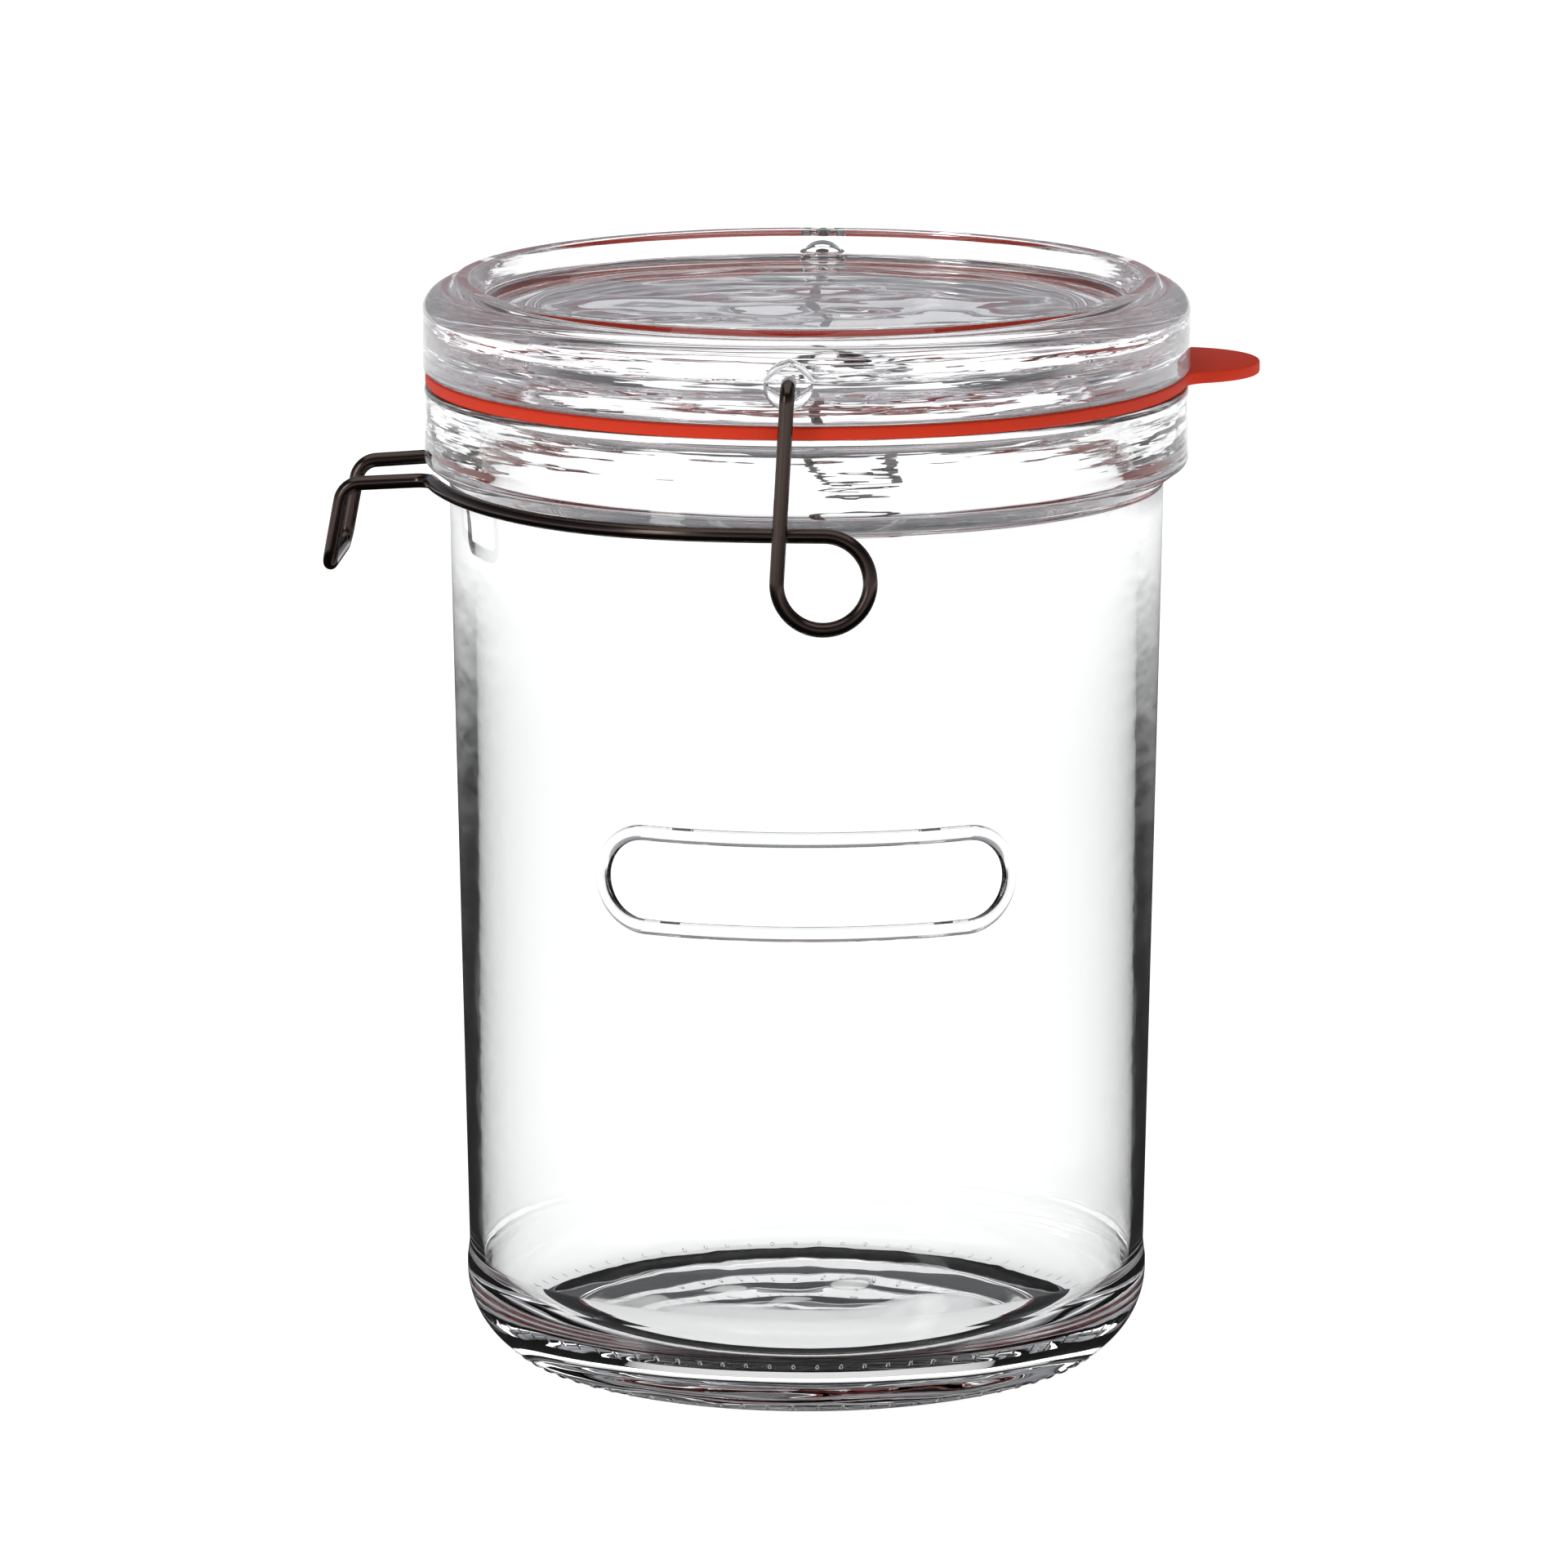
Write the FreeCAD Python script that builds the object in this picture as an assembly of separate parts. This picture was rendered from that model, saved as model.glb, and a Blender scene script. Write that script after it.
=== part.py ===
"""Bail clamp jar: glass jar and lid, rubber sealing ring, one-piece spring wire bail.

Origin: centre of the base circle, on the plane the jar stands on. +Z is up, the wire's pull
handle points along -X and the two pins lie on a line parallel to Y. Millimetres throughout.
"""
import FreeCAD, Part
import math
import os

Vector = FreeCAD.Vector

# Jar body, glass
heel_radius = 47.55             # outer radius of the thickened heel
heel_rounding = 12.0
heel_height = 13.2              # the heel's slight swelling ends here
wall_foot_radius = 47.25        # outer wall just above the heel
wall_foot_height = 15.6
wall_top_radius = 49.4          # outer wall where the flange's sloping underside begins
wall_top_height = 124.1
flange_radius = 52.8
flange_bottom = 126.6           # where the underside meets the flange's side
rim_height = 137.15
mouth_radius = 45.0
throat_height = 126.5           # below this the bore widens into the blown body
bore_top_radius = 45.7
bore_foot_radius = 45.3
floor_height = 6.2
floor_rounding = 9.0
bearing_ring_radius = 33.6      # inner edge of the ring the jar stands on
push_up_edge = 1.4
push_up_centre = 2.6

# Rubber sealing ring
seal_gap = 0.05                 # free space kept on both faces of the rubber
ring_thickness = 1.8
ring_inner_radius = 44.4
ring_outer_radius = 52.6
tab_radius = 11.4
tab_centre_radius = 52.0
tab_direction = 10.6            # degrees from +X towards +Y
tab_root_rounding = 5.0

# Lid, glass
seal_plane = rim_height + seal_gap + ring_thickness + seal_gap
lid_radius = 53.0
shoulder_height = 150.3
shoulder_rounding = 3.2
stack_ring_outer = 48.5
stack_ring_inner = 46.4
lid_top = 151.6
recess_floor_radius = 44.2
recess_floor = 148.5
lid_underside = 143.4
plug_radius = 43.8
plug_inner_radius = 39.9
plug_bottom = 133.8
dimple_radius = 3.3
dimple_height = 144.5
dimple_depth = 2.9

# Spring wire bail
wire_diameter = 2.0
pin_height = 144.6              # the axis the bail swings about
pin_tip = 50.9                  # distance of each pin's end from the middle
leg_offset = 55.4               # distance of each leg from the middle
pin_bend = 2.0
loop_x = 4.75
loop_radius = 6.2
hoop_height = 124.5
hoop_sag = 0.45                 # the hoop dips this much halfway between loop and handle
hoop_radius = 53.3
hoop_centre_x = 1.0
hoop_end_angle = 193.9          # where the hoop begins to turn out into the handle, degrees from +X
arm_reach = 2.6                 # from there to the bend's corner, along the hoop's tangent
arm_bend = 3.0
handle_skew = 0.25              # the handle isn't square: its front side stands this much further out
knee = Vector(-63.1, -9.7, 123.75)
knee_bend = 3.0
handle_corner = Vector(-65.25, -9.3, 112.3)
handle_bend = 2.5


def polar(radius, degrees):
    """Offset in plan."""
    return Vector(radius * math.cos(math.radians(degrees)), radius * math.sin(math.radians(degrees)), 0)


def rounded_edges(corners, closed):
    """Straight runs through corners (point, rounding radius), joined by tangent arcs."""
    count = len(corners)
    spans = []
    for index, (corner, radius) in enumerate(corners):
        at_end = not closed and index in (0, count - 1)
        if at_end or radius == 0:
            spans.append((corner, None, corner))
            continue
        back = (corners[index - 1][0] - corner).normalize()
        ahead = (corners[(index + 1) % count][0] - corner).normalize()
        half = back.getAngle(ahead) / 2
        trim = radius / math.tan(half)
        inward = (back + ahead).normalize()
        middle = corner + inward * (radius / math.sin(half) - radius)
        spans.append((corner + back * trim, middle, corner + ahead * trim))
    edges = []
    for index, (start, middle, end) in enumerate(spans):
        if middle is not None:
            edges.append(Part.Arc(start, middle, end).toShape())
        if index < count - 1 or closed:
            following = spans[(index + 1) % count][0]
            if end.distanceToPoint(following) > 1e-6:
                edges.append(Part.LineSegment(end, following).toShape())
    return edges


def turned(outline):
    """Solid of revolution about Z from corners (distance from the axis, height, rounding)."""
    corners = [(Vector(radius, 0, height), rounding) for radius, height, rounding in outline]
    face = Part.Face(Part.Wire(rounded_edges(corners, closed=True)))
    return face.revolve(Vector(0, 0, 0), Vector(0, 0, 1), 360)


def make_jar_body():
    return turned([
        (0, push_up_centre, 0),
        (bearing_ring_radius - 1.2, push_up_edge, 1.0),
        (bearing_ring_radius, 0, 0.6),
        (heel_radius, 0, heel_rounding),
        (heel_radius, heel_height, 0.8),
        (wall_foot_radius, wall_foot_height, 2.0),
        (wall_top_radius, wall_top_height, 1.5),
        (flange_radius, flange_bottom, 1.0),
        (flange_radius, rim_height, 1.0),
        (mouth_radius, rim_height, 1.2),
        (mouth_radius, throat_height, 2.0),
        (bore_top_radius, throat_height - 3.0, 3.0),
        (bore_foot_radius, floor_height, floor_rounding),
        (0, floor_height - 0.6, 0),
    ])


def make_gasket():
    bottom = rim_height + seal_gap
    plate = Part.makeCylinder(ring_outer_radius, ring_thickness, Vector(0, 0, bottom))
    tab_centre = polar(tab_centre_radius, tab_direction) + Vector(0, 0, bottom)
    plate = plate.fuse(Part.makeCylinder(tab_radius, ring_thickness, tab_centre))
    hole = Part.makeCylinder(ring_inner_radius, ring_thickness, Vector(0, 0, bottom))
    blank = plate.cut(hole).removeSplitter()
    roots = []
    for edge in blank.Edges:
        upright = abs(edge.tangentAt(edge.FirstParameter).z) > 0.99
        from_axis = edge.CenterOfMass.x ** 2 + edge.CenterOfMass.y ** 2
        from_tab = edge.CenterOfMass.distanceToPoint(tab_centre + Vector(0, 0, ring_thickness / 2))
        if upright and abs(from_tab - tab_radius) < 0.01 and abs(math.sqrt(from_axis) - ring_outer_radius) < 0.01:
            roots.append(edge)
    return blank.makeFillet(tab_root_rounding, roots)


def make_lid():
    lid = turned([
        (0, lid_underside, 0),
        (plug_inner_radius - 0.6, lid_underside, 3.0),
        (plug_inner_radius, plug_bottom, 1.3),
        (plug_radius - 0.2, plug_bottom, 1.7),
        (plug_radius, seal_plane, 0.4),
        (lid_radius, seal_plane, 0.7),
        (lid_radius, shoulder_height, shoulder_rounding),
        (stack_ring_outer + 0.7, shoulder_height, 0.5),
        (stack_ring_outer, lid_top, 0.7),
        (stack_ring_inner, lid_top, 0.7),
        (recess_floor_radius, recess_floor, 1.6),
        (0, recess_floor - 0.3, 0),
    ])
    for side in (-1, 1):
        bottom = Vector(0, side * (lid_radius - dimple_depth), dimple_height)
        cutter = Part.makeCylinder(dimple_radius, 2 * dimple_depth, bottom, Vector(0, side, 0))
        rounded = [edge for edge in cutter.Edges if edge.Closed and abs(edge.CenterOfMass.y - bottom.y) < 0.01]
        lid = lid.cut(cutter.makeFillet(1.2, rounded))
    return lid


def loop_start(side):
    """Point where a leg runs into its spring loop, and the angle of that point on the loop."""
    centre = Vector(loop_x, 0, hoop_height - loop_radius)
    pin = Vector(0, 0, pin_height)
    to_centre = centre - pin
    lean = math.asin(loop_radius / to_centre.Length) - math.atan2(to_centre.x, -to_centre.z)
    angle = math.pi - lean
    x = centre.x + loop_radius * math.cos(angle)
    z = centre.z + loop_radius * math.sin(angle)
    return Vector(x, side * leg_offset, z), angle, lean


def loop_edge(side):
    """Three quarters of a turn that eases inwards from the leg to the hoop, behind the leg."""
    _, first_angle, lean = loop_start(side)
    turn = 2.5 * math.pi - first_angle
    steps = 12
    shares = [step / steps for step in range(steps + 1)]
    points = []
    for share in shares:
        angle = first_angle + turn * share
        ease = share * share * (3 - 2 * share)
        points.append(Vector(
            loop_x + loop_radius * math.cos(angle),
            side * (leg_offset + (hoop_radius - leg_offset) * ease),
            hoop_height - loop_radius + loop_radius * math.sin(angle),
        ))
    rate = loop_radius * turn
    curve = Part.BSplineCurve()
    curve.interpolate(
        Points=points,
        Parameters=shares,
        InitialTangent=Vector(-math.sin(lean), 0, -math.cos(lean)) * rate,
        FinalTangent=Vector(-1, 0, 0) * rate,
        Scale=False,
    )
    return curve.toShape()


def hoop_edge(side):
    """One half of the neck hoop, from under its loop round to the handle, with a slight sag."""
    turn = math.radians(hoop_end_angle - 270)
    steps = 12
    shares = [step / steps for step in range(steps + 1)]
    points = []
    for share in shares:
        offset = polar(hoop_radius, 270 + math.degrees(turn) * share)
        sag = hoop_sag * math.sin(math.pi * share) ** 2
        points.append(Vector(hoop_centre_x + offset.x, -side * offset.y, hoop_height - sag))
    curve = Part.BSplineCurve()
    curve.interpolate(
        Points=points,
        Parameters=shares,
        InitialTangent=Vector(hoop_radius * turn, 0, 0),
        FinalTangent=hoop_heading(side) * hoop_radius * -turn,
        Scale=False,
    )
    return curve.toShape()


def hoop_heading(side):
    """Direction of the wire where the hoop ends."""
    heading = polar(1, hoop_end_angle - 90)
    return Vector(heading.x, -side * heading.y, 0)


def half_bail(side):
    """Edges of one side from its pin to where the hoop ends, and the corners of its handle half."""
    start, _, _ = loop_start(side)
    edges = rounded_edges([
        (Vector(0, side * pin_tip, pin_height), 0),
        (Vector(0, side * leg_offset, pin_height), pin_bend),
        (start, 0),
    ], closed=False)
    edges.append(loop_edge(side))
    straight_start = Vector(loop_x, side * hoop_radius, hoop_height)
    straight_end = Vector(hoop_centre_x, side * hoop_radius, hoop_height)
    edges.append(Part.LineSegment(straight_start, straight_end).toShape())
    edges.append(hoop_edge(side))

    offset = polar(hoop_radius, hoop_end_angle)
    hoop_end = Vector(hoop_centre_x + offset.x, -side * offset.y, hoop_height)
    skew = side * handle_skew
    corners = [
        (hoop_end, 0),
        (hoop_end + hoop_heading(side) * arm_reach, arm_bend),
        (Vector(knee.x + skew, -side * knee.y, knee.z), knee_bend),
        (Vector(handle_corner.x + skew, -side * handle_corner.y, handle_corner.z), handle_bend),
    ]
    return edges, corners


def bail_edges():
    """The wire's whole centre line, in order round the bail."""
    front, front_corners = half_bail(-1)
    back, back_corners = half_bail(1)
    return front + rounded_edges(front_corners + back_corners[::-1], closed=False) + back[::-1]


def make_wire_bail():
    spans = []
    edges = bail_edges()
    for edge in edges:
        start = edge.valueAt(edge.FirstParameter)
        direction = edge.tangentAt(edge.FirstParameter)
        section = Part.Wire(Part.Circle(start, direction, wire_diameter / 2).toShape())
        spans.append(Part.Wire(edge).makePipeShell([section], True, False))
    bail = spans[0].fuse(spans[1:]).removeSplitter()
    length = sum(edge.Length for edge in edges)
    expected = math.pi * (wire_diameter / 2) ** 2 * length
    print(f"wire length {length:.1f}, volume {bail.Volume:.1f}, section times length {expected:.1f}")
    return bail


def main():
    nodes = {
        "jar_body": make_jar_body(),
        "lid": make_lid(),
        "gasket": make_gasket(),
        "wire_bail": make_wire_bail(),
    }
    os.makedirs("parts", exist_ok=True)
    for name, shape in nodes.items():
        solid = shape.Solids[0]
        print(f"{name}: valid {solid.isValid()}, solids {len(shape.Solids)}, volume {solid.Volume:.0f}")
        solid.exportStep(f"parts/{name}.step")


main()
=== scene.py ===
"""Bail clamp jar: glass jar and lid, rubber sealing ring and one-piece spring wire bail.

The model's own frame: +Z up, the jar stands on Z = 0, the wire's pull handle points along -X
and its two pins lie along Y. Outlines are in millimetres, everything in the scene is in metres.
"""
import math

import bmesh
import bpy
from mathutils import Matrix, Vector, noise


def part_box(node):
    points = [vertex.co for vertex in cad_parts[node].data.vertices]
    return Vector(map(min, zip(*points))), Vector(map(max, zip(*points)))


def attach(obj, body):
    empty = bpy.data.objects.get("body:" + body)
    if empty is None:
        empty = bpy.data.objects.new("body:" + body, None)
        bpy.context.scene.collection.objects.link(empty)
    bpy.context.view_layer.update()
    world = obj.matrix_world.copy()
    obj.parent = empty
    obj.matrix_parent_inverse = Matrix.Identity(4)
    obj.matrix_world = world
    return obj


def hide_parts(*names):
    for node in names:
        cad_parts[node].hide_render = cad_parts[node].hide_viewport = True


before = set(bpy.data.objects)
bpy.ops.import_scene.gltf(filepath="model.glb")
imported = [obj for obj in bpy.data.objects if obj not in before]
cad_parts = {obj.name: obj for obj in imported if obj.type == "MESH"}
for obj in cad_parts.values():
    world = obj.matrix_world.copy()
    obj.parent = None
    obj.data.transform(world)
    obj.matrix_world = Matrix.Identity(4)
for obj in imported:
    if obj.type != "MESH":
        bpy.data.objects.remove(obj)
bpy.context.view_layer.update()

MM = 0.001
TURN = 2 * math.pi

jar_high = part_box("jar_body")[1] / MM
lid_low, lid_high = (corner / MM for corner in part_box("lid"))
ring_low, ring_high = (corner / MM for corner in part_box("gasket"))
wire_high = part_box("wire_bail")[1] / MM

# Jar body, millimetres
rim_height = jar_high.z
flange_radius = jar_high.x
mouth_radius = 45.0
heel_radius = 47.55
heel_rounding = 12
wall_foot_radius = 47.25
wall_foot_height = 15.6
wall_top_radius = 49.4
wall_top_height = 124.1
bore_foot_radius = 45.3
bore_top_radius = 45.7
bearing_ring_radius = 33.6
knurl_radius = 41.5
knurl_count = 76
cartouche_width = 58
cartouche_tall = 13
cartouche_height = 75.8
cartouche_bead = 1.05

# Lid, millimetres
lid_top = lid_high.z
seal_plane = ring_high.z + 0.05
lid_radius = lid_high.x
plug_radius = 43.8
plug_bottom = lid_low.z
crest_bead_radius = 48.2
crest_bead_count = 112
dimple_radius = 3.3
dimple_depth = 2.9
pin_height = 144.6

# Sealing ring, millimetres
ring_inner_radius = 44.4
ring_outer_radius = 52.6
tab_radius = 11.4
tab_centre_radius = 52.0
tab_direction = math.radians(10.6)      # from +X towards +Y
tab_root_rounding = 5.0

# Spring wire, millimetres
wire_radius = 1.0
pin_tip = 50.9
leg_offset = wire_high.y - wire_radius
loop_x = 4.75
loop_radius = 6.2
hoop_height = 124.5
hoop_sag = 0.45
hoop_radius = 53.3
hoop_centre_x = 1.0
hoop_end_angle = math.radians(193.9)    # where the hoop turns out into the handle, from +X
arm_reach = 2.6
handle_skew = 0.25
knee = Vector((-63.1, 9.7, 123.75))
handle_corner = Vector((-65.25, 9.3, 112.3))


# ---------------------------------------------------------------- modelling helpers

def deselect():
    if bpy.context.object and bpy.context.object.mode != "OBJECT":
        bpy.ops.object.mode_set(mode="OBJECT")
    bpy.ops.object.select_all(action="DESELECT")


def make_active(piece):
    deselect()
    piece.select_set(True)
    bpy.context.view_layer.objects.active = piece


def select_in_edit(piece, wanted, kind="verts"):
    """In edit mode, selects the vertices, edges or faces that wanted(element) accepts."""
    cage = bmesh.from_edit_mesh(piece.data)
    bpy.ops.mesh.select_all(action="DESELECT")
    chosen = [element for element in getattr(cage, kind) if wanted(element)]
    for element in chosen:
        element.select_set(True)
    cage.select_flush_mode()
    bmesh.update_edit_mesh(piece.data)
    return len(chosen)


def draw_outline(name, corners, grain):
    """Half section in the XZ plane, drawn corner by corner from (distance from the axis, height,
    rounding) in millimetres. Every corner is rounded, and long runs are cut until no edge is
    longer than grain(its middle)."""
    places = [Vector((radius, 0, height)) * MM for radius, height, _ in corners]
    bpy.ops.mesh.primitive_plane_add(size=MM, location=places[0])
    piece = bpy.context.object
    piece.name = piece.data.name = name
    bpy.ops.object.transform_apply(location=True, rotation=False, scale=False)
    bpy.ops.object.mode_set(mode="EDIT")
    bpy.ops.mesh.select_all(action="SELECT")
    bpy.ops.mesh.merge(type="CENTER")
    for here, there in zip(places, places[1:]):
        bpy.ops.mesh.extrude_region_move(TRANSFORM_OT_translate={"value": there - here})
    for index in range(1, len(corners) - 1):
        rounding = corners[index][2] * MM
        back = (places[index - 1] - places[index]).normalized()
        ahead = (places[index + 1] - places[index]).normalized()
        opening = back.angle(ahead)
        select_in_edit(piece, lambda v: (v.co - places[index]).length < 1e-7)
        segments = max(4, math.ceil((math.pi - opening) * (rounding / MM + 1.5) * 2.2))
        bpy.ops.mesh.bevel(
            offset_type="OFFSET", offset=rounding / math.tan(opening / 2),
            segments=min(segments, 24), profile=0.5, affect="VERTICES",
        )
    for cuts in (15, 7, 3, 1):

        def too_long(edge):
            middle = (edge.verts[0].co + edge.verts[1].co) / 2 / MM
            return edge.calc_length() / MM > grain(middle) * (cuts + 1) * 0.75

        if select_in_edit(piece, too_long, "edges"):
            bpy.ops.mesh.subdivide(number_cuts=cuts)
    return piece


def close_up(piece):
    """Merges what lies together and turns every face outwards."""
    make_active(piece)
    bpy.ops.object.mode_set(mode="EDIT")
    bpy.ops.mesh.select_all(action="SELECT")
    bpy.ops.mesh.remove_doubles(threshold=0.01 * MM)
    bpy.ops.mesh.normals_make_consistent(inside=False)
    bpy.ops.object.mode_set(mode="OBJECT")
    return piece


def spin_outline(piece, steps):
    """Turns the outline once round Z and closes its seam and its poles."""
    bpy.ops.mesh.select_all(action="SELECT")
    bpy.ops.mesh.spin(steps=steps, angle=TURN, center=(0, 0, 0), axis=(0, 0, 1))
    close_up(piece)


def copies_round(piece, count):
    """Copies of a small body all the way round Z, joined into one object."""
    ring = [piece]
    for index in range(1, count):
        copy = piece.copy()
        copy.data = piece.data.copy()
        copy.data.transform(Matrix.Rotation(TURN * index / count, 4, "Z"))
        bpy.context.scene.collection.objects.link(copy)
        ring.append(copy)
    make_active(piece)
    for copy in ring:
        copy.select_set(True)
    bpy.ops.object.join()
    return piece


def add_bead(place, size, lean=0):
    """Small egg-shaped bead, its half widths in size, leaning about Y."""
    bpy.ops.mesh.primitive_uv_sphere_add(
        segments=8, ring_count=6, radius=MM, location=place * MM, rotation=(0, lean, 0),
    )
    bead = bpy.context.object
    bead.scale = size
    bpy.ops.object.transform_apply(location=True, rotation=True, scale=True)
    return bead


def combine(piece, tool, operation):
    """Boolean with a tool body, which is used up."""
    make_active(piece)
    cut = piece.modifiers.new(operation.lower(), "BOOLEAN")
    cut.object = tool
    cut.operation = operation
    cut.solver = "MANIFOLD"
    bpy.ops.object.modifier_apply(modifier=cut.name)
    bpy.data.objects.remove(tool)


def wave(piece, weight, size, depth, seed):
    """Unevenness of blown or pressed glass: sinks the surface along its normal by up to depth,
    in soft waves of the given size round the axis and in height (all millimetres)."""
    around, upright = size
    moves = []
    for vertex in piece.data.vertices:
        place = vertex.co / MM
        share = weight(math.hypot(place.x, place.y), place.z)
        if share > 0:
            spot = Vector((place.x / around, place.y / around, place.z / upright + seed))
            moves.append((vertex, vertex.normal * (noise.noise(spot) - 1) / 2 * depth * share * MM))
    for vertex, move in moves:
        vertex.co += move


def smoothstep(low, high, value):
    share = min(max((value - low) / (high - low), 0), 1)
    return share * share * (3 - 2 * share)


# ---------------------------------------------------------------- materials

def new_material(name):
    material = bpy.data.materials.new(name)
    material.use_nodes = True
    tree = material.node_tree
    return material, tree, tree.nodes["Principled BSDF"]


def noise_height(tree, stretch, scale, detail, coordinates="Object"):
    """Noise on the piece's Object or UV coordinates, stretched along the axes."""
    place = tree.nodes.new("ShaderNodeTexCoord")
    mapping = tree.nodes.new("ShaderNodeMapping")
    mapping.inputs["Scale"].default_value = stretch
    cloud = tree.nodes.new("ShaderNodeTexNoise")
    cloud.inputs["Scale"].default_value = scale
    cloud.inputs["Detail"].default_value = detail
    tree.links.new(place.outputs[coordinates], mapping.inputs["Vector"])
    tree.links.new(mapping.outputs["Vector"], cloud.inputs["Vector"])
    return cloud.outputs["Fac"]


def add_bump(tree, shader, height, distance, strength=1.0):
    bump = tree.nodes.new("ShaderNodeBump")
    bump.inputs["Distance"].default_value = distance
    bump.inputs["Strength"].default_value = strength
    tree.links.new(height, bump.inputs["Height"])
    if shader.inputs["Normal"].is_linked:
        tree.links.new(shader.inputs["Normal"].links[0].from_socket, bump.inputs["Normal"])
    tree.links.new(bump.outputs["Normal"], shader.inputs["Normal"])


def between_heights(tree, height, low, high):
    """Keeps a height pattern between two levels of Z in millimetres and fades it out past them."""
    place = tree.nodes.new("ShaderNodeTexCoord")
    split = tree.nodes.new("ShaderNodeSeparateXYZ")
    tree.links.new(place.outputs["Object"], split.inputs["Vector"])
    for start, end in ((low - 0.6, low + 0.6), (high + 0.6, high - 0.6)):
        fade = tree.nodes.new("ShaderNodeMapRange")
        fade.inputs["From Min"].default_value = start * MM
        fade.inputs["From Max"].default_value = end * MM
        keep = tree.nodes.new("ShaderNodeMath")
        keep.operation = "MULTIPLY"
        tree.links.new(split.outputs["Z"], fade.inputs["Value"])
        tree.links.new(fade.outputs["Result"], keep.inputs[0])
        tree.links.new(height, keep.inputs[1])
        height = keep.outputs["Value"]
    return height


def make_glass(name, tint, streak_levels, streak_depth):
    """Clear glass, faintly uneven all over, with fine level streaks from pressing where the
    mould was coldest."""
    material, tree, shader = new_material(name)
    shader.inputs["Base Color"].default_value = (*tint, 1)
    shader.inputs["Roughness"].default_value = 0.0
    shader.inputs["IOR"].default_value = 1.5
    shader.inputs["Transmission Weight"].default_value = 1.0
    add_bump(tree, shader, noise_height(tree, (1, 1, 2), 90, 2), 0.02 * MM)
    streaks = noise_height(tree, (1, 1, 11), 60, 2)
    add_bump(tree, shader, between_heights(tree, streaks, *streak_levels), streak_depth)
    return material


def make_rubber():
    material, tree, shader = new_material("seal_rubber_red")
    shader.inputs["Roughness"].default_value = 0.6
    shader.inputs["Specular IOR Level"].default_value = 0.25
    mix = tree.nodes.new("ShaderNodeMix")
    mix.data_type = "RGBA"
    mix.inputs["A"].default_value = (0.74, 0.030, 0.003, 1)
    mix.inputs["B"].default_value = (0.62, 0.036, 0.007, 1)
    tree.links.new(noise_height(tree, (1, 1, 1), 90, 3), mix.inputs["Factor"])
    tree.links.new(mix.outputs["Result"], shader.inputs["Base Color"])
    add_bump(tree, shader, noise_height(tree, (1, 1, 1), 1500, 2), 0.03 * MM)
    return material


def make_wire_metal():
    """Spring wire with the dark film and the lengthwise lines that drawing leaves."""
    material, tree, shader = new_material("drawn_wire")
    shader.inputs["Metallic"].default_value = 1.0
    shader.inputs["Roughness"].default_value = 0.2
    draw_lines = noise_height(tree, (14, 34, 1), 1, 3, "UV")
    mix = tree.nodes.new("ShaderNodeMix")
    mix.data_type = "RGBA"
    mix.inputs["A"].default_value = (0.035, 0.025, 0.022, 1)
    mix.inputs["B"].default_value = (0.11, 0.083, 0.072, 1)
    tree.links.new(draw_lines, mix.inputs["Factor"])
    tree.links.new(mix.outputs["Result"], shader.inputs["Base Color"])
    add_bump(tree, shader, draw_lines, 0.03 * MM)
    return material


# ---------------------------------------------------------------- studio

camera_heading = math.radians(2.6)
camera_pitch = math.radians(11.29)
camera_distance = 1.325
camera_height = 0.3448
dark_ring_reach = 0.88


def set_camera():
    spot = (
        camera_distance * math.sin(camera_heading),
        -camera_distance * math.cos(camera_heading),
        camera_height,
    )
    bpy.ops.object.camera_add(location=spot, rotation=(math.pi / 2 - camera_pitch, 0, camera_heading))
    camera = bpy.context.object
    camera.name = "camera"
    camera.data.lens = 222.9
    camera.data.sensor_width = 36
    camera.data.shift_x = -0.0143
    bpy.context.scene.camera = camera


def add_dark_ring():
    """Black ring lying round the jar that fades out towards its rim. Only light that meets an odd
    number of surfaces sees it. That is light turned back on or inside a wall, so the ring darkens
    the edges of the walls from every side and leaves the rest clear."""
    bpy.ops.mesh.primitive_circle_add(
        vertices=96, radius=dark_ring_reach, fill_type="NGON", location=(0, 0, 0.6 * MM),
    )
    ring = bpy.context.object
    ring.name = "dark_ring"
    material, tree, shader = new_material("black_card")
    shader.inputs["Base Color"].default_value = (0.01, 0.01, 0.01, 1)
    shader.inputs["Roughness"].default_value = 1.0
    place = tree.nodes.new("ShaderNodeTexCoord")
    reach = tree.nodes.new("ShaderNodeVectorMath")
    reach.operation = "LENGTH"
    tree.links.new(place.outputs["Object"], reach.inputs[0])
    fade = tree.nodes.new("ShaderNodeMapRange")
    fade.interpolation_type = "SMOOTHSTEP"
    fade.inputs["From Min"].default_value = dark_ring_reach - 0.36
    fade.inputs["From Max"].default_value = dark_ring_reach
    fade.inputs["To Min"].default_value = 1
    fade.inputs["To Max"].default_value = 0
    tree.links.new(reach.outputs["Value"], fade.inputs["Value"])
    path = tree.nodes.new("ShaderNodeLightPath")
    turned_back = tree.nodes.new("ShaderNodeMath")
    turned_back.operation = "MODULO"
    turned_back.inputs[1].default_value = 2
    tree.links.new(path.outputs["Ray Depth"], turned_back.inputs[0])
    cover = tree.nodes.new("ShaderNodeMath")
    cover.operation = "MULTIPLY"
    tree.links.new(fade.outputs["Result"], cover.inputs[0])
    tree.links.new(turned_back.outputs["Value"], cover.inputs[1])
    tree.links.new(cover.outputs["Value"], shader.inputs["Alpha"])
    ring.data.materials.append(material)
    ring.visible_camera = False
    ring.visible_diffuse = False
    ring.visible_shadow = False


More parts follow.
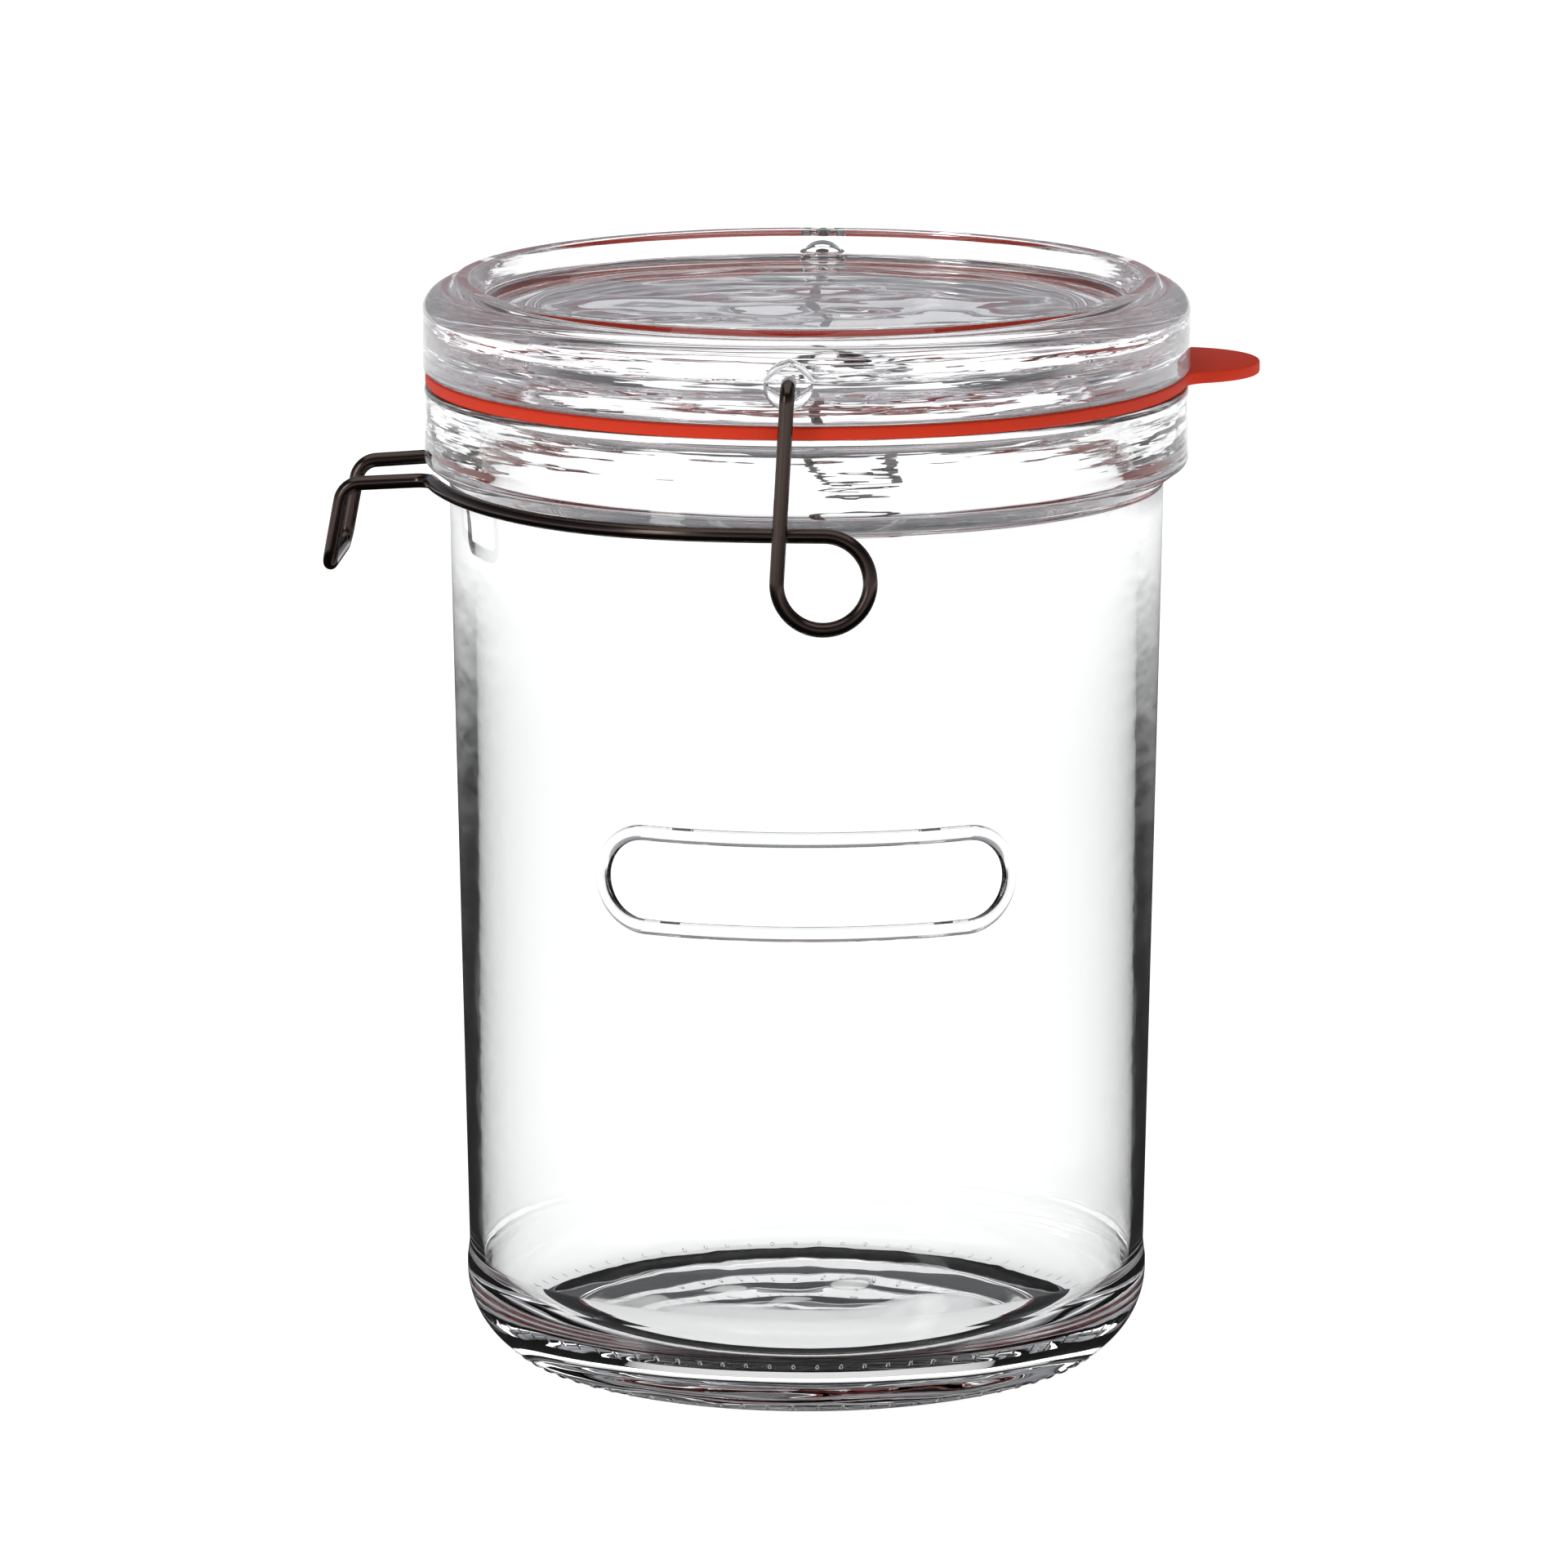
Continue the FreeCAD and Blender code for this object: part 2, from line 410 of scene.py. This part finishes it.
def set_studio():
    world = bpy.data.worlds.new("studio")
    bpy.context.scene.world = world
    world.use_nodes = True
    background = world.node_tree.nodes["Background"]
    background.inputs["Color"].default_value = (0.93, 0.94, 1, 1)
    direction = world.node_tree.nodes.new("ShaderNodeTexCoord")
    split = world.node_tree.nodes.new("ShaderNodeSeparateXYZ")
    dimming = world.node_tree.nodes.new("ShaderNodeMapRange")
    dimming.inputs["From Min"].default_value = 0
    dimming.inputs["From Max"].default_value = 0.5
    dimming.inputs["To Min"].default_value = 0.5
    dimming.inputs["To Max"].default_value = 0.09
    world.node_tree.links.new(direction.outputs["Generated"], split.inputs["Vector"])
    world.node_tree.links.new(split.outputs["Z"], dimming.inputs["Value"])
    world.node_tree.links.new(dimming.outputs["Result"], background.inputs["Strength"])

    bpy.ops.mesh.primitive_plane_add(size=14)
    floor = bpy.context.object
    floor.name = "floor"
    material, _, shader = new_material("white_sweep")
    shader.inputs["Base Color"].default_value = (0.9, 0.9, 0.9, 1)
    shader.inputs["Roughness"].default_value = 0.9
    shader.inputs["Emission Color"].default_value = (1, 1, 1, 1)
    shader.inputs["Emission Strength"].default_value = 0.8
    floor.data.materials.append(material)

    add_dark_ring()

    bpy.ops.object.light_add(type="AREA", location=(0, 0, 1.8))
    top = bpy.context.object
    top.name = "top_softbox"
    top.data.shape = "RECTANGLE"
    top.data.size = 2.4
    top.data.size_y = 2.4
    top.data.energy = 20

    bpy.ops.object.light_add(
        type="AREA", location=(-1.1, -1.1, 0.55), rotation=(math.radians(70), 0, math.radians(-45)),
    )
    strip = bpy.context.object
    strip.name = "side_strip"
    strip.data.shape = "RECTANGLE"
    strip.data.size = 0.3
    strip.data.size_y = 0.8
    strip.data.energy = 5


# ---------------------------------------------------------------- pieces

def make_jar():
    jar = draw_outline("clear_jar", [
        (0, 2.6, 0),
        (bearing_ring_radius - 1.2, 1.4, 1.0),
        (bearing_ring_radius, 0, 0.6),
        (heel_radius, 0, heel_rounding),
        (heel_radius, 13.2, 0.8),
        (wall_foot_radius, wall_foot_height, 2),
        (wall_top_radius, wall_top_height, 1.5),
        (flange_radius, 126.6, 1),
        (flange_radius, rim_height, 1),
        (mouth_radius, rim_height, 1.2),
        (mouth_radius, 126.5, 2),
        (bore_top_radius, 123.5, 3),
        (bore_foot_radius, 6.2, 9),
        (0, 5.6, 0),
    ], grain=lambda middle: 0.8 if middle.z > 126 else 1.3 if middle.z < 16 else 2.6)
    spin_outline(jar, 256)
    wave(jar, in_bore, (40, 70), 0.12, seed=3)
    wave(jar, on_floor, (16, 16), 0.3, seed=8)
    wave(jar, on_push_up, (12, 12), 0.7, seed=4)
    wave(jar, in_neck, (7, 2.6), 0.16, seed=5)
    wave(jar, in_neck, (3.2, 1.6), 0.1, seed=9)
    combine(jar, make_knurls(), "UNION")
    combine(jar, make_cartouche(), "UNION")
    return jar


def in_bore(radius, height):
    inside = 1 - smoothstep(bore_top_radius + 0.2, bore_top_radius + 0.6, radius)
    return inside * smoothstep(16, 30, height) * (1 - smoothstep(112, 124, height))


def on_floor(radius, height):
    above_base = smoothstep(4, 5, height) * (1 - smoothstep(12, 15, height))
    return above_base * (1 - smoothstep(36, 43, radius))


def on_push_up(radius, height):
    return (1 - smoothstep(3, 4, height)) * (1 - smoothstep(24, 31, radius))


def in_neck(radius, height):
    below_rim = 1 - smoothstep(rim_height - 1.8, rim_height - 1, height)
    return smoothstep(127.4, 128.4, height) * below_rim


def make_knurls():
    """Short radial bars moulded into the rounded heel, which keep the jar off a wet surface."""
    lean = math.asin((knurl_radius - heel_radius + heel_rounding) / heel_rounding)
    height = heel_rounding * (1 - math.cos(lean))
    bar = add_bead(Vector((knurl_radius, 0, height + 0.05)), (1.0, 0.3, 0.3), -lean)
    return copies_round(bar, knurl_count)


def make_cartouche():
    """Raised oval frame on the front wall, where a label would go."""
    flare = (wall_top_radius - wall_foot_radius) / (wall_top_height - wall_foot_height)
    wall = wall_foot_radius + flare * (cartouche_height - wall_foot_height)
    end, bend = (cartouche_width - cartouche_tall) / 2, cartouche_tall / 2
    outline = arc(Vector((end, 0)), bend, -math.pi / 2, math.pi / 2, math.radians(6))
    outline += arc(Vector((-end, 0)), bend, math.pi / 2, 1.5 * math.pi, math.radians(6))
    route = [Vector((x, 0, z)) for x, z in outline]
    oval = add_tube("cartouche", route, cartouche_bead, 5, closed=True)
    make_active(oval)
    bpy.ops.object.mode_set(mode="EDIT")
    long_run = 3 * MM
    if select_in_edit(oval, lambda e: e.calc_length() > long_run, "edges"):
        bpy.ops.mesh.subdivide(number_cuts=31)
    bpy.ops.object.mode_set(mode="OBJECT")
    for vertex in oval.data.vertices:
        place = vertex.co / MM
        angle = place.x / wall + camera_heading
        radius = wall + 0.1 - place.y + flare * place.z
        height = cartouche_height + place.z
        vertex.co = Vector((radius * math.sin(angle), -radius * math.cos(angle), height)) * MM
    return close_up(oval)


def make_lid():
    lid = draw_outline("clear_lid", [
        (0, 143.4, 0),
        (plug_radius - 4.5, 143.4, 3),
        (plug_radius - 3.9, plug_bottom, 1.3),
        (plug_radius - 0.2, plug_bottom, 1.7),
        (plug_radius, seal_plane, 0.4),
        (lid_radius, seal_plane, 0.7),
        (lid_radius, lid_top - 1.3, 3.2),
        (49.2, lid_top - 1.3, 0.5),
        (48.5, lid_top, 0.7),
        (46.4, lid_top, 0.7),
        (44.2, 148.5, 1.6),
        (0, 148.2, 0),
    ], grain=lambda middle: 0.8 if middle.x > 38 else 1.6)
    spin_outline(lid, 256)
    wave(lid, on_lid_side, (12, 2.4), 0.1, seed=2)
    wave(lid, on_lid_middle, (13, 13), 0.3, seed=6)
    crest_bead = add_bead(Vector((crest_bead_radius, 0, lid_top - 0.26)), (0.25, 0.25, 0.25))
    combine(lid, copies_round(crest_bead, crest_bead_count), "UNION")
    for side in (-1, 1):
        combine(lid, make_dimple_tool(side), "DIFFERENCE")
    return lid


def on_lid_side(radius, height):
    outside = smoothstep(51.5, 52.6, radius)
    above_seal = smoothstep(seal_plane + 0.8, seal_plane + 2, height)
    return outside * above_seal * (1 - smoothstep(146, 149, height))


def on_lid_middle(radius, height):
    return 1 - smoothstep(30, 42, radius)


def make_dimple_tool(side):
    """Round-nosed plug that presses a pin's seat into the lid's side."""
    nose = side * (lid_radius - dimple_depth)
    bpy.ops.mesh.primitive_cylinder_add(
        vertices=48, radius=dimple_radius * MM, depth=2 * dimple_depth * MM,
        location=Vector((0, nose + side * dimple_depth, pin_height - 0.1)) * MM,
        rotation=(math.pi / 2, 0, 0),
    )
    tool = bpy.context.object
    bpy.ops.object.transform_apply(location=True, rotation=True, scale=True)
    bpy.ops.object.mode_set(mode="EDIT")
    select_in_edit(tool, lambda v: abs(v.co.y / MM - nose) < 0.1)
    bpy.ops.mesh.bevel(offset=1.2 * MM, segments=8, affect="EDGES")
    return close_up(tool)


def add_tube(name, route, radius, resolution, closed=False):
    """Round bar along a route, as a mesh (millimetres)."""
    curve = bpy.data.curves.new(name, "CURVE")
    curve.dimensions = "3D"
    curve.bevel_depth = radius * MM
    curve.bevel_resolution = resolution
    curve.use_fill_caps = not closed
    spline = curve.splines.new("POLY")
    spline.points.add(len(route) - 1)
    for point, place in zip(spline.points, route):
        point.co = (*(place * MM), 1)
    spline.use_cyclic_u = closed
    tube = bpy.data.objects.new(name, curve)
    bpy.context.scene.collection.objects.link(tube)
    make_active(tube)
    bpy.ops.object.convert(target="MESH")
    return close_up(bpy.context.object)


def flat_curve(name, outlines, height, thickness, rounding):
    """Level plate cut to closed outlines (the second one is a hole), its edges rounded."""
    curve = bpy.data.curves.new(name, "CURVE")
    curve.dimensions = "2D"
    curve.fill_mode = "BOTH"
    curve.extrude = (thickness / 2 - rounding) * MM
    curve.bevel_depth = rounding * MM
    curve.bevel_resolution = 3
    curve.offset = -rounding * MM
    for outline in outlines:
        spline = curve.splines.new("POLY")
        spline.points.add(len(outline) - 1)
        for point, place in zip(spline.points, outline):
            point.co = (*(place * MM), 0, 1)
        spline.use_cyclic_u = True
    plate = bpy.data.objects.new(name, curve)
    bpy.context.scene.collection.objects.link(plate)
    make_active(plate)
    bpy.ops.object.convert(target="MESH")
    plate = bpy.context.object
    plate.location.z = (height + thickness / 2) * MM
    bpy.ops.object.transform_apply(location=True, rotation=False, scale=False)
    return close_up(plate)


def arc(centre, radius, first, last, step=math.radians(1.5)):
    """Points in plan along an arc, from one angle to the other."""
    count = max(2, math.ceil(abs(last - first) / step))
    angles = [first + (last - first) * index / count for index in range(count + 1)]
    return [centre + Vector((math.cos(angle), math.sin(angle))) * radius for angle in angles]


def make_sealing_ring():
    """Flat rubber ring whose round tab runs into it through hollow curves."""
    root = tab_root_rounding
    to_root = ring_outer_radius + root
    reach = tab_radius + root
    share = (to_root ** 2 + tab_centre_radius ** 2 - reach ** 2) / (2 * to_root * tab_centre_radius)
    root_angle = math.acos(share)
    tab_centre = Vector((tab_centre_radius, 0))
    outline = []
    for side in (-1, 1):
        centre = Vector((math.cos(root_angle), side * math.sin(root_angle))) * to_root
        from_tab = (centre - tab_centre).normalized()
        tab_angle = math.atan2(from_tab.y, from_tab.x)
        ring_end = root_angle + math.pi
        tab_end = abs(tab_angle) - math.pi
        hollow = arc(centre, root, side * ring_end, side * (TURN + tab_end), math.radians(8))
        if side < 0:
            outline += hollow[:-1] + arc(tab_centre, tab_radius, tab_angle, -tab_angle)
        else:
            outline += hollow[::-1][1:]
    outline += arc(Vector((0, 0)), ring_outer_radius, root_angle, TURN - root_angle)[1:-1]
    hole = arc(Vector((0, 0)), ring_inner_radius, 0, TURN)[:-1]
    turned = [[place.copy() for place in line] for line in (outline, hole)]
    for line in turned:
        for place in line:
            place.rotate(Matrix.Rotation(tab_direction, 2))
    return flat_curve("rubber_ring", turned, ring_low.z, ring_high.z - ring_low.z, 0.35)


def rounded_route(corners):
    """Points through corners (place, bend radius), with each bend as an arc."""
    route = [corners[0][0]]
    for index in range(1, len(corners) - 1):
        corner, radius = corners[index]
        back = (corners[index - 1][0] - corner).normalized()
        ahead = (corners[index + 1][0] - corner).normalized()
        half = back.angle(ahead) / 2
        centre = corner + (back + ahead).normalized() * radius / math.sin(half)
        start = corner + back * radius / math.tan(half) - centre
        axis = back.cross(ahead)
        count = max(4, math.ceil((math.pi - 2 * half) / math.radians(8)))
        for step in range(count + 1):
            turned = start.copy()
            turned.rotate(Matrix.Rotation(-(math.pi - 2 * half) * step / count, 3, axis))
            route.append(centre + turned)
    route.append(corners[-1][0])
    return route


def half_wire(side):
    """Route of one side of the wire, from its pin to where the hoop ends, and the corners of
    its half of the handle."""
    loop_centre = Vector((loop_x, 0, hoop_height - loop_radius))
    to_centre = loop_centre - Vector((0, 0, pin_height))
    lean = math.asin(loop_radius / to_centre.length) - math.atan2(to_centre.x, -to_centre.z)
    first = math.pi - lean
    route = []
    steps = 48
    for step in range(steps + 1):
        share = step / steps
        angle = first + (2.5 * math.pi - first) * share
        offset = leg_offset + (hoop_radius - leg_offset) * smoothstep(0, 1, share)
        route.append(Vector((
            loop_x + loop_radius * math.cos(angle),
            side * offset,
            loop_centre.z + loop_radius * math.sin(angle),
        )))
    leg = rounded_route([
        (Vector((0, side * pin_tip, pin_height)), 0),
        (Vector((0, side * leg_offset, pin_height)), 2),
        (route[0], 0),
    ])
    for step in range(steps + 1):
        share = step / steps
        angle = 1.5 * math.pi + (hoop_end_angle - 1.5 * math.pi) * share
        route.append(Vector((
            hoop_centre_x + hoop_radius * math.cos(angle),
            -side * hoop_radius * math.sin(angle),
            hoop_height - hoop_sag * math.sin(math.pi * share) ** 2,
        )))
    onward = Vector((math.sin(hoop_end_angle), side * math.cos(hoop_end_angle), 0))
    corners = [
        (route[-1], 0),
        (route[-1] + onward * arm_reach, 3),
        (Vector((knee.x + side * handle_skew, side * knee.y, knee.z)), 3),
        (Vector((handle_corner.x + side * handle_skew, side * handle_corner.y, handle_corner.z)), 2.5),
    ]
    return leg[:-1] + route[:-1], corners


def make_wire():
    front, front_corners = half_wire(-1)
    back, back_corners = half_wire(1)
    route = front + rounded_route(front_corners + back_corners[::-1]) + back[::-1]
    return add_tube("spring_wire", route, wire_radius, 8)


def finish_piece(piece, material, body, node):
    make_active(piece)
    bpy.ops.object.shade_smooth_by_angle(angle=math.radians(40))
    piece.data.materials.clear()
    piece.data.materials.append(material)
    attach(piece, body)
    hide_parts(node)


deselect()
set_camera()
set_studio()
jar_glass = make_glass("clear_jar_glass", (0.985, 0.99, 0.988), (127.5, 135.8), 0.12 * MM)
lid_glass = make_glass("clear_lid_glass", (0.982, 0.98, 0.99), (139.8, 148), 0.12 * MM)
finish_piece(make_jar(), jar_glass, "jar", "jar_body")
finish_piece(make_lid(), lid_glass, "lid", "lid")
finish_piece(make_sealing_ring(), make_rubber(), "gasket", "gasket")
finish_piece(make_wire(), make_wire_metal(), "bail", "wire_bail")

bpy.context.scene.view_settings.view_transform = "Standard"
bpy.context.scene.cycles.max_bounces = 24
bpy.context.scene.cycles.transmission_bounces = 24
bpy.context.scene.cycles.glossy_bounces = 24
